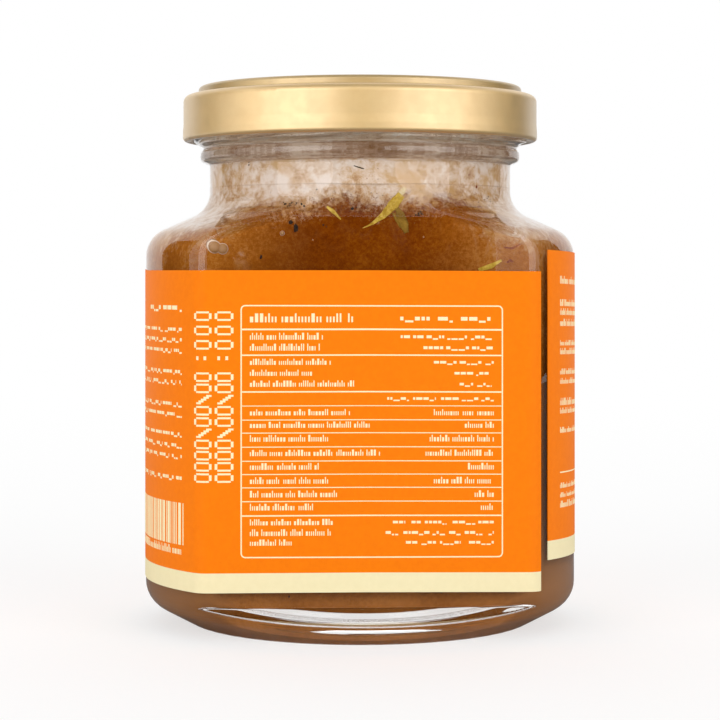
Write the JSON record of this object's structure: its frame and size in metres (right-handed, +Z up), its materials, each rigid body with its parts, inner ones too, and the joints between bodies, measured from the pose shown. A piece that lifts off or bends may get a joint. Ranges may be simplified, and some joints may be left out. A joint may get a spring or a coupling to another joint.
{
  "type": "honey jar",
  "caption": "Filled glass honey jar with flat label panels, a twist-off cap, a wrap-round paper label, and froth on the honey.",
  "frame": {"origin": "middle of the foot, on the surface the jar stands on", "axes": "+Z up along the jar's axis, the front label panel faces -Y, +X to the right of someone facing it"},
  "size_m": [0.0878, 0.0867, 0.1088],
  "materials": {
    "clear_glass": "gloss",
    "cap_lacquer": "satin gold",
    "honey": "gloss",
    "honey_froth": "matt",
    "label_paper": "matt"
  },
  "bodies": {
    "root": {"glass_jar": "clear_glass", "twist_cap": "cap_lacquer", "honey": "honey", "froth": "honey_froth", "label": "label_paper"}
  },
  "joints": []
}
